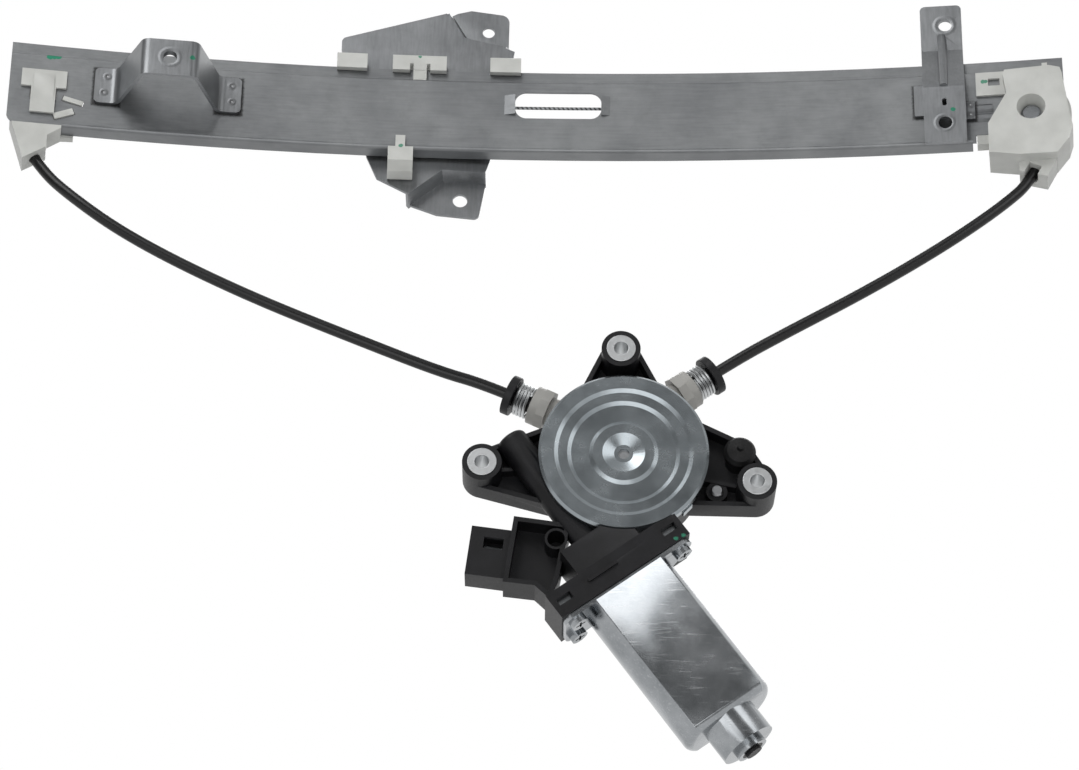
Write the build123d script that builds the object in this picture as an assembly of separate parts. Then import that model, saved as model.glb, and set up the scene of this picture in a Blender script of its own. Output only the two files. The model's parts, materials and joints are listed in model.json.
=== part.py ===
from build123d import *
import math
import os

# Cable window regulator: a curved rail with a carrier that a wire pulls along it,
# and a geared motor with a cable drum, joined to the rail by two sheathed cables.
# Everything is drawn as the door's inner panel sees it, in millimetres:
# x along the rail, y up across it, z towards the panel. Zero is the middle of the rail's face.

os.makedirs("parts", exist_ok=True)

# Fits
seat = 0.1              # between a piece and the curved sheet it sits on
fixed_fit = 0.05        # radial, between pieces that don't turn
running_fit = 0.05      # radial, between a shaft and its bearing
slide_gap = 0.35        # between a slider and the rail's edges

# Rail
rail_radius = 1500.0
rail_left = -263.0      # ends, measured along the curve
rail_right = 256.5
rail_sheet = 1.2
web_height = 40.0
lip_step = 5.0
lip_height = 7.8
flange_depth = 9.0
flange_left = -236.0
flange_right = 211.0
rail_bend = 1.8
rail_corner = 5.0
rail_notch_start = 212.8  # cut-out for the pulley housing's lug
rail_notch_end = 226.4
rail_notch_height = 4.0
slot_x = 7.4
slot_y = 6.2
slot_length = 42.7
slot_height = 14.8
slot_corner = 5.5
ramp_length = 10.5
ramp_width = 11.0
ramp_height = 1.5
bead_start = 213.4     # two pressed beads beside the pulley housing
bead_end = 221.4
bead_height = 1.3
bead_width = 4.8
bead_high_y = -1.2
bead_low_y = -6.4

# Bracket over the rail's left end, with one bolt hole
hat_arc = -185.6
hat_y = 4.0
hat_width = 19.5
hat_span = 72.0
hat_inner_span = 48.0
hat_crown = 24.0
hat_height = 34.0
hat_sheet = 1.8
hat_foot_bend = 6.0
hat_crown_bend = 3.0
hat_corner = 2.5
hat_hole_radius = 3.4
hat_collar_wall = 1.3
hat_collar_depth = 2.0

# Stepped bracket over the rail's right end, with two bolt holes
arm_to_pulley = 42.0
arm_width = 20.5
arm_sheet = 2.0
arm_stand = 8.0
arm_low_end = -23.5
arm_low_bend = 7.5
arm_high_bend = 37.0
arm_high_end = 63.5
arm_high_stand = -7.0
arm_bend = 2.5
arm_low_hole_y = -12.4
arm_high_hole_y = 52.0
arm_high_hole_x = 2.0
arm_hole_radius = 3.3
arm_gusset_radius = 2.2
arm_foot_reach = 4.5
arm_foot_sheet = 1.8
arm_foot_length = 17.0
arm_near_foot_length = 9.6
arm_corner = 2.6
arm_low_corner = 1.2
arm_slot_y = -0.8
arm_slot_width = 2.2
arm_slot_height = 4.0

# Wire rope and its sheaths
wire_radius = 0.75
wire_y = 8.0            # above the rail's centre line
wire_behind = 6.0       # behind the rail's face
wire_clear = 0.35
sheath_radius = 2.75

# Cable guide at the rail's left end
guide_arc = -236.0
guide_turn_radius = 22.0
guide_exit_angle = -57.0
guide_depth = 13.0
guide_mouth = 11.0      # from the end of the turn to the mouth
guide_socket = 8.0      # how deep the sheath goes in
clip_width = 22.0
clip_height = 9.5
clip_stem_width = 12.0
clip_stem_drop = 13.8
clip_thickness = 1.6
clip_x = -10.2
clip_y = 5.2
clip_pad_height = 1.0
hook_length = 10.0     # two small hooks that catch in the rail's windows
hook_height = 0.7
hook_gap = 0.4
hook_places = ((4.5, -5.6, 2.4, -14), (0.4, -13.2, 3.2, 22))

# Pulley and its housing at the rail's right end
pulley_arc = 240.0
pulley_wire_radius = 14.0
pulley_width = 5.4
pulley_flange = 2.0
pulley_exit_angle = 242.0
axle_radius = 3.0
axle_head_radius = 4.0
axle_head_height = 1.6
pulley_face = 8.0       # how far the housing stands in front of the rail
pulley_back = 13.0
pulley_wall = 2.3
pulley_gap = 1.2
pulley_recess_radius = 5.0
pulley_recess_mouth = 7.0
pulley_tab_thickness = 1.6
pulley_mouth = 25.0
pulley_socket = 9.0

# Carrier
carrier_arc = -57.0
carrier_sheet = 1.8
carrier_front = -11.3   # face of the plate that looks at the rail
carrier_joggle = 9.0
high_tab_slope = (2.4, 4.8)
low_tab_slope = (0.6, -2.4)
carrier_corner = 3.0
glass_high_hole = (29.5, 60.5)
glass_low_hole = (17.1, -37.4)
glass_hole_radius = 3.1
glass_low_hole_radius = 3.6
left_slider = (-46.1, -31.0)        # ends along the rail, from the carrier's middle
middle_slider = (-18.4, 8.5)
middle_tongue = (-8.0, -1.4)
right_slider = (30.2, 45.6)
low_slider = (-19.3, -6.9)
low_finger = (-15.7, -10.9)
slider_wall = 3.2
slider_hook = 1.9
slider_height = 7.0     # above the lip's edge
slider_corner = 3.2
slider_notch = 1.7
cable_clip_length = 24.0
cable_clip_height = 9.0
nipple_radius = 2.5
nipple_length = 7.0

# Drum and gear
drum_x = 39.0
drum_y = -202.8
drum_wire_radius = 20.0
groove_pitch = 2.5
groove_count = 5
first_groove = 5.5
drum_flange_radius = 22.2
drum_flange_width = 0.8
spindle_radius = 4.0
gear_ratio = 73
wheel_pitch_radius = 31.0
wheel_low = 30.0
wheel_high = 38.0
worm_pitch_radius = 5.0
tooth_addendum = 0.75
tooth_dedendum = 1.0
tooth_backlash = 0.24
pressure_angle = 20.0
worm_z = 34.0
worm_length = 22.0
motor_angle = -53.7
wheel_pocket_radius = 26.5
wheel_pocket_floor = 3.0
wheel_hub_radius = 9.5
damper_count = 3

# Drum housing with the two cable tubes
drum_housing_low = 1.8
drum_housing_wall = 3.3
drum_housing_top = 20.3
tube_radius = 7.0
tube_bore = 4.8
tube_start = 16.0
tube_end = 46.5
collar_radius = 9.2
collar_length = 4.0
collar_nut_radius = 10.0
collar_nut_length = 4.5
left_tube_angle = 155.7
right_tube_angle = 35.8
left_groove = 1
right_groove = 3
screw_angle = -25.0
screw_lug_radius = 4.0

# Cable tensioners
cap_radius = 9.6
cap_thickness = 4.0
cap_distance = 64.2
cap_stem_radius = 4.4
cap_stem_length = 26.0
cap_socket = 14.0
spring_radius = 7.3
spring_wire = 1.5
spring_turns = 4.5

# Gear housing
bowl_radius = 37.2
bowl_wall = 4.0
bowl_back = 20.5
bowl_floor = 3.0
arm_plate_back = 23.5
arm_plate_front = 36.0
arm_rim = 2.2
arm_floor = 4.0
arm_rib = 1.8
arm_rib_front = 33.5
sleeve_boss_radius = 9.1
sleeve_boss_front = 44.0
sleeve_radius = 6.8
sleeve_bore = 3.25
sleeve_front = 44.5
sleeve_back = 23.0
top_sleeve = (-1.3, 53.4)
left_sleeve = (-64.9, -5.4)
right_sleeve = (61.0, -13.2)
bumper_place = (53.6, 3.8)
bumper_radius = 7.4
pin_place = (43.1, -13.9)
pin_radius = 2.9
worm_tube_radius = 7.6
worm_tube_bore = 6.2
worm_tube_rounding = 2.4
worm_tube_end = -40.0
block_start = 38.0
block_end = 51.0
block_half_width = 35.5
block_half_depth = 14.6
block_ridge = (43.4, 7.6, 16.0)   # along the shaft, beside it, length
block_ridge_height = 1.0
neck_start = 24.0
neck_depth = 26.0
neck_width = 34.0

# Gear cover, pressed over the bowl
cover_gap = 1.0         # between the bowl and the cover's skirt
cover_sheet = 0.9
cover_face = 45.0
cover_lip = 4.0
cover_edge = 1.2
cover_rise = 1.0        # of the ring over the bowl's rim
cover_ring_width = 7.2
cover_slope = 1.8
cover_dish_radius = 25.0
cover_dish_depth = 1.0
cover_boss_radius = 15.0
cover_dimple_radius = 9.8
cover_dimple_depth = 1.8
cover_dimple_slope = 5.4
cover_hole_radius = 2.6

# Motor
can_radius = 23.0
can_half_depth = 14.2
can_wall = 1.6
can_start = 52.6
can_end = 129.5
can_boss_radius = 13.0
can_boss_end = 143.5
ear_radius = 6.0
ear_sheet = 2.4
screw_spread = 29.0
screw_depth = 8.0
screw_radius = 2.0
screw_head_radius = 4.1
screw_head_height = 3.0
blade_length = 16.0
blade_width = 2.3
blade_sheet = 0.8
blade_spread = 4.5
plug_place = (-51.5, -47.5, 27.5)
plug_angle = -7
shaft_radius = 3.0
core_radius = 11.8
core_start = 66.0
core_end = 108.0
core_teeth = 10
commutator_radius = 8.0
commutator_start = 46.0
commutator_end = 57.0
magnet_inner_radius = 12.8
bush_length = 8.0
bush_wall = 2.4

upright = (Align.CENTER, Align.CENTER, Align.MIN)
rail_axis = Axis((0, 0, rail_radius), (0, -1, 0))
centre_distance = wheel_pitch_radius + worm_pitch_radius
screw_circle = drum_flange_radius + drum_housing_wall + 3.5
arm_arc = pulley_arc - arm_to_pulley
bowl_inner_radius = bowl_radius - bowl_wall
cover_radius = bowl_radius + cover_gap + cover_sheet
bowl_front = cover_face + cover_rise - cover_sheet - seat
spindle_end = cover_face - cover_dimple_depth - cover_sheet - 0.3


# Small helpers

def rod(radius, low, high):
    return Pos(0, 0, low) * Cylinder(radius, high - low, align=upright)


def ring(outer, inner, low, high):
    return rod(outer, low, high) - rod(inner, low, high)


def slab(sketch, low, high):
    return extrude(Pos(0, 0, low) * sketch, high - low, dir=(0, 0, 1))


def outline(*corners):
    return Polygon(*corners, align=None)


def sheet(corners, thickness, bend):
    # a bent strip's section, with its thickness on the left of the path
    return make_face(offset(FilletPolyline(*corners, radius=bend), amount=thickness, side=Side.LEFT))


def softened(sketch, radius, *corners):
    # rounds the corners that lie nearest to the given places
    chosen = [sketch.vertices().sort_by_distance(Vector(*corner))[0] for corner in corners]
    return fillet(chosen, radius)


def around(radius, count, sketch, first=0):
    # copies of a sketch on a circle
    return Sketch() + [place * sketch for place in PolarLocations(radius, count, start_angle=first)]


def crosswise(section, low, high):
    # section drawn in x and z, extruded across the rail
    return extrude(Plane((0, low, 0), x_dir=(1, 0, 0), z_dir=(0, -1, 0)) * section, high - low, dir=(0, 1, 0))


def lengthwise(section, low, high):
    # section drawn in y and z, extruded along the rail
    return extrude(Pos(low, 0, 0) * (Plane.YZ * section), high - low, dir=(1, 0, 0))


def along_rail(shape, arc):
    # turns what is drawn at the rail's middle to its place on the curve
    return shape.rotate(rail_axis, math.degrees(arc / rail_radius))


def swept(section, start, end):
    # section drawn in y and z, swept along the rail's curve
    first = along_rail(Plane.YZ * section, start)
    return revolve(first, rail_axis, revolution_arc=math.degrees((end - start) / rail_radius))


def face_height(x):
    # the curved face's height above its tangent plane
    return rail_radius - math.sqrt(rail_radius ** 2 - x ** 2)


def direction(angle):
    return Vector(math.cos(math.radians(angle)), math.sin(math.radians(angle)), 0)


def tube_along(path, radius):
    return sweep(Plane(path @ 0, z_dir=path % 0) * Circle(radius), path)


drum_at = Pos(drum_x, drum_y, 0)
axis_side = direction(motor_angle + 90)
shaft_foot = Vector(drum_x, drum_y, worm_z) - axis_side * centre_distance
shaft_plane = Plane(shaft_foot, x_dir=(0, 0, 1), z_dir=direction(motor_angle))
on_shaft = shaft_plane.location


def groove_z(number):
    return first_groove + number * groove_pitch


def tensioner_plane(angle, groove):
    # origin where the wire leaves the drum, z along the wire, x towards the panel
    side = 1 if math.cos(math.radians(angle)) < 0 else -1
    tangent = direction(angle - side * 90) * drum_wire_radius
    start = Vector(drum_x, drum_y, groove_z(groove)) + tangent
    return Plane(start, x_dir=(0, 0, 1), z_dir=direction(angle))


left_cable = tensioner_plane(left_tube_angle, left_groove)
right_cable = tensioner_plane(right_tube_angle, right_groove)


# Rail and its brackets

def rail():
    lip_top = web_height / 2 + lip_height
    web = [
        (lip_top, -lip_step),
        (web_height / 2, -lip_step),
        (web_height / 2, 0),
        (-web_height / 2, 0),
    ]
    flanged = sheet(web + [(-web_height / 2, -flange_depth)], rail_sheet, rail_bend)
    plain = sheet(web, rail_sheet, rail_bend)
    body = swept(flanged, flange_left, flange_right)
    body += swept(plain, rail_left, flange_left)
    body += swept(plain, flange_right, rail_right)
    slot = RectangleRounded(slot_length, slot_height, slot_corner)
    body -= Pos(slot_x, slot_y) * slab(slot, -2 * rail_sheet, 2 * rail_sheet)
    for side in (-1, 1):
        near = side * slot_length / 2
        ramp = outline((near, -rail_sheet), (near, ramp_height), (near + side * ramp_length, -rail_sheet))
        body += Pos(slot_x, 0, 0) * crosswise(ramp, slot_y - ramp_width / 2, slot_y + ramp_width / 2)
    window = Rectangle(clip_stem_width + 1, clip_height + 2)
    body -= along_rail(Pos(clip_x, 0) * slab(window, -2 * rail_sheet, 2 * rail_sheet), guide_arc)
    axle_hole = rod(axle_radius + fixed_fit, -2 * rail_sheet, 2 * rail_sheet)
    body -= along_rail(Pos(0, wire_y - pulley_wire_radius) * axle_hole, pulley_arc)
    corner = Pos(0, -web_height / 2) * Rectangle(2 * rail_corner, 2 * rail_corner)
    corner -= Pos(rail_corner, rail_corner - web_height / 2) * Circle(1.02 * rail_corner)
    body -= along_rail(slab(corner, -2 * rail_sheet, 2 * rail_sheet), rail_left)
    for x, y, width, angle in hook_places:
        window = Pos(x, y) * (Rot(0, 0, angle) * Rectangle(hook_length + 2 * hook_gap, width + 2 * hook_gap))
        body -= along_rail(slab(window, -2 * rail_sheet, 2 * rail_sheet), guide_arc)
    low = -web_height / 2
    notch = outline((low - 1, 1), (low - 1, -2 * rail_sheet),
                    (low + rail_notch_height, -2 * rail_sheet), (low + rail_notch_height, 1))
    body -= swept(notch, rail_notch_start, rail_notch_end)
    for y in (bead_high_y, bead_low_y):
        bead = outline((y - bead_width / 2, -rail_sheet / 2), (y + bead_width / 2, -rail_sheet / 2),
                       (y + bead_width / 2, 0), (y + bead_width / 2 - bead_height, bead_height),
                       (y - bead_width / 2 + bead_height, bead_height), (y - bead_width / 2, 0))
        body += swept(bead, bead_start, bead_end)
    return body


def hat_bracket():
    outer = hat_span / 2
    inner = hat_inner_span / 2
    crown = hat_crown / 2
    under = hat_height - hat_sheet
    path = [
        (-outer, face_height(outer) + seat),
        (-inner, face_height(inner) + seat),
        (-crown, under),
        (crown, under),
        (inner, face_height(inner) + seat),
        (outer, face_height(outer) + seat),
    ]
    bends = (hat_foot_bend, hat_crown_bend, hat_crown_bend, hat_foot_bend)
    strap = crosswise(sheet(path, hat_sheet, bends), hat_y - hat_width / 2, hat_y + hat_width / 2)
    plan = Pos(0, hat_y) * RectangleRounded(hat_span, hat_width, hat_corner)
    strap &= slab(plan, -1, hat_height + 1)
    collar = rod(hat_hole_radius + hat_collar_wall, under - hat_collar_depth, under)
    strap += Pos(0, hat_y) * collar
    strap -= Pos(0, hat_y) * rod(hat_hole_radius, under - hat_height / 2, hat_height + 1)
    return along_rail(strap, hat_arc)


def arm_bracket():
    half = arm_width / 2
    path = [
        (arm_low_end, arm_stand - arm_sheet),
        (arm_low_bend, arm_stand - arm_sheet),
        (arm_high_bend, arm_high_stand - arm_sheet),
        (arm_high_end, arm_high_stand - arm_sheet),
    ]
    body = lengthwise(sheet(path, arm_sheet, arm_bend), -half, half)
    plan = outline((-half, arm_low_end), (half, arm_low_end), (half, arm_high_end), (-half, arm_high_end))
    plan = softened(plan, arm_corner, (half, arm_high_end), (-half, arm_high_end))
    plan = softened(plan, arm_low_corner, (half, arm_low_end), (-half, arm_low_end))
    body &= slab(plan, arm_high_stand - 2 * arm_sheet, arm_stand + 1)
    foot_top = arm_low_bend + 5
    legs = [(-half, -1, foot_top - arm_foot_length, foot_top)]
    near_foot = arm_low_bend - arm_foot_length + 2
    legs += [(half, 1, near_foot, near_foot + arm_near_foot_length)]
    for edge, side, low, high in legs:
        wall_top = min(high, arm_low_bend - arm_sheet)
        wall = outline((edge, seat), (edge - side * arm_sheet, seat),
                       (edge - side * arm_sheet, arm_stand - arm_sheet), (edge, arm_stand - arm_sheet))
        body += crosswise(wall, low, wall_top)
        tip = edge + side * arm_foot_reach
        foot = outline((edge - side * arm_sheet, seat), (tip, seat),
                       (tip, arm_foot_sheet), (edge - side * arm_sheet, arm_foot_sheet))
        body += crosswise(foot, low, high)
    start = Vector(0, arm_low_bend + 1, arm_stand - 1)
    end = Vector(0, arm_high_bend + 9, arm_high_stand - 1)
    gusset = Plane(start, z_dir=end - start).location * rod(arm_gusset_radius, 0, (end - start).length)
    body += gusset
    body -= Pos(0, arm_low_hole_y) * rod(arm_hole_radius, 0.5, arm_stand + 1)
    slot = RectangleRounded(arm_slot_width, arm_slot_height, arm_slot_width / 2 - 0.1)
    body -= Pos(0, arm_slot_y) * slab(slot, arm_foot_sheet, arm_stand + 1)
    high_hole = rod(arm_hole_radius, arm_high_stand - 5, arm_high_stand + 3)
    body -= Pos(arm_high_hole_x, arm_high_hole_y) * high_hole
    return along_rail(body, arm_arc)


# Cable guide at the left end: the wire turns inside it round a fixed curve

guide_centre = Vector(0, wire_y - guide_turn_radius, -wire_behind)
guide_out = direction(guide_exit_angle)
guide_turn_end = guide_centre + direction(guide_exit_angle - 90) * guide_turn_radius


def guide_wire(extra=0.0):
    # from the sheath's end to the top of the turn, drawn at the rail's middle
    start = guide_turn_end + guide_out * (guide_mouth - guide_socket + extra)
    turn = RadiusArc(guide_turn_end, guide_centre + Vector(0, guide_turn_radius, 0), guide_turn_radius)
    return Wire([Edge.make_line(start, guide_turn_end), turn.edge()])


def lower_cable_guide():
    left = -guide_turn_radius - 3.3
    body_outline = outline(
        (left, wire_y + 5), (6, wire_y + 5), (6, -web_height / 2 - 1.2), (0, -web_height / 2 - 1.5),
        (-6.5, -26), (-6.6, -32.6), (-17.6, -39.7), (left, -17),
    )
    body = slab(body_outline, -guide_depth, 1)
    clip = Pos(clip_x, clip_y) * Rectangle(clip_width, clip_height)
    clip += Pos(clip_x, (clip_y - clip_stem_drop) / 2) * Rectangle(clip_stem_width, clip_stem_drop + clip_y)
    neck = Pos(clip_x, 0) * Rectangle(clip_stem_width, clip_height)
    body = along_rail(body, guide_arc)
    web_room = outline((-web_height / 2 - seat, 1.5), (-web_height / 2 - seat, -rail_sheet - seat),
                       (30, -rail_sheet - seat), (30, 1.5))
    body -= swept(web_room, rail_left - 5, flange_left + 12)
    inside = -web_height / 2 + rail_bend
    end_room = outline((-60, 1.5), (-60, -flange_depth - seat), (inside, -flange_depth - seat), (inside, 1.5))
    body -= swept(end_room, flange_left - seat, flange_left + 12)
    body += along_rail(slab(neck, -guide_depth / 2, clip_thickness), guide_arc)
    body += along_rail(slab(clip, face_height(clip_width) + seat, clip_thickness), guide_arc)
    pad = outline(
        (clip_y + clip_height / 2, clip_thickness - 0.2), (-clip_stem_drop + 4, clip_thickness - 0.2),
        (-2, clip_thickness + clip_pad_height), (clip_y, clip_thickness + clip_pad_height),
    )
    half = clip_stem_width / 2 - 1
    body += along_rail(lengthwise(pad, clip_x - half, clip_x + half), guide_arc)
    for x, y, width, angle in hook_places:
        hook = Pos(x, y) * (Rot(0, 0, angle) * Rectangle(hook_length, width))
        body += along_rail(slab(hook, -2 * rail_sheet, hook_height), guide_arc)
    bore = tube_along(guide_wire(extra=1), wire_radius + wire_clear)
    mouth = Plane(guide_turn_end, z_dir=guide_out).location
    socket = rod(sheath_radius + fixed_fit, guide_mouth - guide_socket, guide_mouth + 12)
    entry = Pos(0, wire_y, -wire_behind) * (Rot(0, 90, 0) * rod(wire_radius + 2 * wire_clear, -0.5, 12))
    body -= along_rail(bore, guide_arc)
    body -= along_rail(mouth * socket, guide_arc)
    return body - along_rail(entry, guide_arc)


# Pulley housing at the right end

pulley_centre = Vector(0, wire_y - pulley_wire_radius, -wire_behind)
pulley_out = direction(pulley_exit_angle)
pulley_turn_end = pulley_centre + direction(pulley_exit_angle + 90) * pulley_wire_radius


def pulley_wire():
    end = pulley_turn_end + pulley_out * (pulley_mouth - pulley_socket)
    turn = RadiusArc(pulley_centre + Vector(0, pulley_wire_radius, 0), pulley_turn_end, pulley_wire_radius)
    return Wire([turn.edge(), Edge.make_line(pulley_turn_end, end)])


def pulley_housing():
    outer = pulley_wire_radius + pulley_flange + pulley_gap
    front = outline(
        (-13, 13.4), (-12, 15.5), (9.5, 16.5), (14.8, 15), (15.7, 12), (18.3, -10), (19.6, -18.3),
        (17.6, -24.5), (11.4, -32.4), (-6.4, -32.4), (-21.4, -30), (-21.2, -14), (-11.6, 2.5),
    )
    back = Pos(0, pulley_centre.Y) * Circle(outer + pulley_wall)
    skirt = outline((19.6, -18.3), (17.6, -24.5), (11.4, -32.4), (-6.4, -32.4), (-21.4, -30), (-21.2, -14))
    funnel = outline((12.5, -30), (6, -41.5), (-7.3, -37.5), (-7, -28))
    body = slab(front, 0, pulley_face) + slab(back + skirt, -pulley_back, 0)
    body += slab(funnel, -pulley_back, 1)
    tab = Pos(-19, 11.9) * (Rectangle(14.5, 13) - Pos(1.6, 0.8) * Rectangle(5.6, 4))
    body += slab(tab, 0, pulley_tab_thickness)
    body += slab(Pos(7.6, 17) * Rectangle(2.6, 3), 0, pulley_face - 1)
    body = along_rail(body, pulley_arc)
    web_room = outline((-web_height / 2 - seat, seat), (-web_height / 2 - seat, -rail_sheet - seat),
                       (30, -rail_sheet - seat), (30, seat))
    body -= swept(web_room, flange_right - 5, rail_right + seat)
    notch_top = rail_notch_height - web_height / 2 - slide_gap
    lug_low = -web_height / 2 - 1.4
    lug = outline((lug_low, -6), (notch_top, -6), (notch_top, 0.3), (lug_low, 0.3))
    lug_body = swept(lug, rail_notch_start + slide_gap, rail_notch_end - slide_gap)
    body += lug_body
    chamber = Pos(0, pulley_centre.Y) * rod(outer, -wire_behind - pulley_width / 2 - 0.5, -rail_sheet)
    entry = Pos(0, wire_y, -wire_behind) * (Rot(0, 90, 0) * rod(wire_radius + 3 * wire_clear, -30, 0))
    mouth = Plane(pulley_turn_end, z_dir=pulley_out).location
    socket = rod(sheath_radius + fixed_fit, pulley_mouth - pulley_socket, pulley_mouth + 15)
    bore = rod(wire_radius + wire_clear, -1, pulley_mouth)
    hole = Pos(0, pulley_centre.Y) * rod(axle_radius + fixed_fit, -pulley_back - 1, 0)
    funnel = Cone(pulley_recess_radius, pulley_recess_mouth, pulley_face + 2 * seat, align=upright)
    recess = Pos(0, pulley_centre.Y, -seat) * funnel
    gate = Pos(pulley_mouth + 10, 0) * Rectangle(20, 2 * sheath_radius + 1)
    channel = Rot(0, 0, pulley_exit_angle) * gate
    front = Pos(pulley_turn_end.X, pulley_turn_end.Y) * slab(channel, -wire_behind, 3)
    return body - along_rail(chamber + entry + mouth * (socket + bore) + hole + recess + front, pulley_arc)


def pulley_axle():
    head_low = face_height(axle_head_radius) + seat
    body = rod(axle_radius, -pulley_back - axle_head_height / 2, head_low)
    body += rod(axle_head_radius, head_low, head_low + axle_head_height)
    body += rod(axle_head_radius, -pulley_back - axle_head_height, -pulley_back)
    return along_rail(Pos(0, pulley_centre.Y) * body, pulley_arc)


def pulley():
    rim = pulley_wire_radius + pulley_flange
    root = pulley_wire_radius - wire_radius - wire_clear
    half = pulley_width / 2
    section = outline(
        (axle_radius + running_fit, -half), (rim, -half), (rim, -half + 0.7), (root, -wire_radius),
        (root, wire_radius), (rim, half - 0.7), (rim, half), (axle_radius + running_fit, half),
    )
    wheel = revolve(Plane.XZ * section, Axis.Z)
    holes = around((axle_radius + root) / 2, 6, Circle(2.4))
    wheel -= slab(holes, -half - 1, half + 1)
    return along_rail(Pos(0, pulley_centre.Y, -wire_behind) * wheel, pulley_arc)


# Carrier: a stamped plate behind the rail, hung on four plastic sliders

high_fold = ((8, 65.5), (16.4, 50.7), (38.2, 46))
low_fold = ((29.4, -24.8), (7.3, -23.6), (-10, -38.5))


def joggle(fold, slope):
    # the sloping wall between the plate and a tab that is set back
    drop = carrier_joggle + carrier_sheet
    wall = make_face(offset(Polyline(*fold), amount=carrier_sheet, side=Side.LEFT))
    foot = Pos(-slope[0] * carrier_sheet / drop, -slope[1] * carrier_sheet / drop, carrier_front)
    path = Vector(*slope, -drop)
    return extrude(foot * wall, path.length, dir=path)


def set_back(fold, slope):
    # where the fold line comes down to on the tab
    share = 1 - 2 * carrier_sheet / (carrier_joggle + carrier_sheet)
    return [(x + slope[0] * share, y + slope[1] * share) for x, y in fold]


def carrier_plate():
    back = carrier_front - carrier_sheet
    step = back - carrier_joggle
    plate = outline(
        (-44.5, 42), (-44.5, 48.9), *high_fold, (42.7, 44.2), (31.2, -19.6), *low_fold, (-24.6, -31),
        (-30, -19),
    )
    plate = softened(plate, carrier_corner, (-44.5, 48.9))
    high_tab = outline(*set_back(high_fold, high_tab_slope), (40, 70.6), (20.5, 73), (13.4, 71))
    high_tab = softened(high_tab, 1.5 * carrier_corner, (40, 70.6))
    low_tab = outline(*set_back(low_fold, low_tab_slope), (5.5, -45.5), (26.4, -47.2))
    low_tab = softened(low_tab, carrier_corner, (26.4, -47.2))
    body = slab(plate, back, carrier_front)
    body += joggle(high_fold, high_tab_slope) + joggle(low_fold, low_tab_slope)
    body += slab(high_tab, step, step + carrier_sheet)
    body += slab(low_tab, step, step + carrier_sheet)
    body -= Pos(*glass_high_hole) * rod(glass_hole_radius, step - 1, step + carrier_sheet + 1)
    body -= Pos(*glass_low_hole) * rod(glass_low_hole_radius, step - 1, step + carrier_sheet + 1)
    return along_rail(body, carrier_arc)


def top_slider(ends, tongue=None):
    # hooks over the lip at the rail's top edge
    start, end = (carrier_arc + place for place in ends)
    lip_top = web_height / 2 + lip_height
    front = -lip_step + slide_gap
    back = -lip_step - rail_sheet - slide_gap
    top = lip_top + slider_height
    hook = outline(
        (lip_top - slider_hook, front), (lip_top - slider_hook, front + slider_wall),
        (top - 1, front + slider_wall), (top, front + slider_wall - 1), (top, back - 3.4),
        (lip_top - 5, back - 3.4), (lip_top - 5, back),
        (lip_top + slide_gap, back), (lip_top + slide_gap, front),
    )
    body = swept(hook, start, end)
    if tongue:
        low = outline((web_height / 2 + 0.7, front), (lip_top, front), (lip_top, front + slider_wall),
                      (web_height / 2 + 0.7, front + slider_wall - 1))
        notch = outline(
            (lip_top - slider_hook - 1, front - 0.5), (lip_top + 1.8, front - 0.5),
            (lip_top + 1.8, front + slider_wall + 1), (lip_top - slider_hook - 1, front + slider_wall + 1),
        )
        left, right = (carrier_arc + place for place in tongue)
        body -= swept(notch, left - slider_notch, left)
        body -= swept(notch, right, right + slider_notch)
        body += swept(low, left, right)
        corner = Pos(0, top) * (Rot(0, 0, 45) * Rectangle(1.414 * slider_corner, 1.414 * slider_corner))
        for end_arc in (start, end):
            body -= along_rail(slab(corner, -2, front + slider_wall + 1), end_arc)
    middle = (start + end) / 2 - carrier_arc
    pad = Pos(middle, (top + lip_top - 5) / 2) * Rectangle(end - start - 1, top - lip_top + 5)
    body += along_rail(slab(pad, carrier_front, back - 1), carrier_arc)
    return body


def bottom_slider():
    low = -web_height / 2
    front = slide_gap
    block = outline(
        (low - 12, -10.2), (low - 12, -2), (low - 8, front + slider_wall - 1),
        (low - slide_gap, front + slider_wall - 1), (low - slide_gap, -flange_depth - slide_gap),
        (low + rail_sheet + slide_gap, -flange_depth - slide_gap), (low + rail_sheet + slide_gap, -4),
        (low + 5, -4), (low + 5, -10.2),
    )
    body = swept(block, *(carrier_arc + place for place in low_slider))
    tip = (low - 1, front + slider_wall - 1)
    finger = outline((low - 1, front), (low + 6.5, front), (low + 6.5, front + 1.2), tip)
    body += swept(finger, *(carrier_arc + place for place in low_finger))
    pad = Pos(sum(low_slider) / 2, low - 3.5) * Rectangle(low_slider[1] - low_slider[0] - 1.4, 16)
    body += along_rail(slab(pad, carrier_front, -9.8), carrier_arc)
    return body


def wire_room(radius, start, end):
    # a round passage that follows the wire's own curve
    return swept(Pos(wire_y, -wire_behind) * Circle(radius), start, end)


def cable_clip():
    half = cable_clip_length / 2
    block = Pos(0, wire_y) * RectangleRounded(cable_clip_length, cable_clip_height, 1.5)
    body = along_rail(slab(block, carrier_front, -wire_behind + 3.6), carrier_arc)
    body -= wire_room(wire_radius + wire_clear, carrier_arc - half - 1, carrier_arc + half + 1)
    for side in (-1, 1):
        middle = carrier_arc + side * half / 2
        body -= wire_room(nipple_radius + fixed_fit, middle - nipple_length / 2 - 0.1,
                          middle + nipple_length / 2 + 0.1)
    return body


def cable_nipples():
    pieces = []
    for side in (-1, 1):
        middle = carrier_arc + side * cable_clip_length / 4
        barrel = wire_room(nipple_radius, middle - nipple_length / 2, middle + nipple_length / 2)
        bore = wire_room(wire_radius + wire_clear, middle - nipple_length, middle + nipple_length)
        pieces.append(barrel - bore)
    return Compound(children=pieces)


# Wire and sheaths

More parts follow.
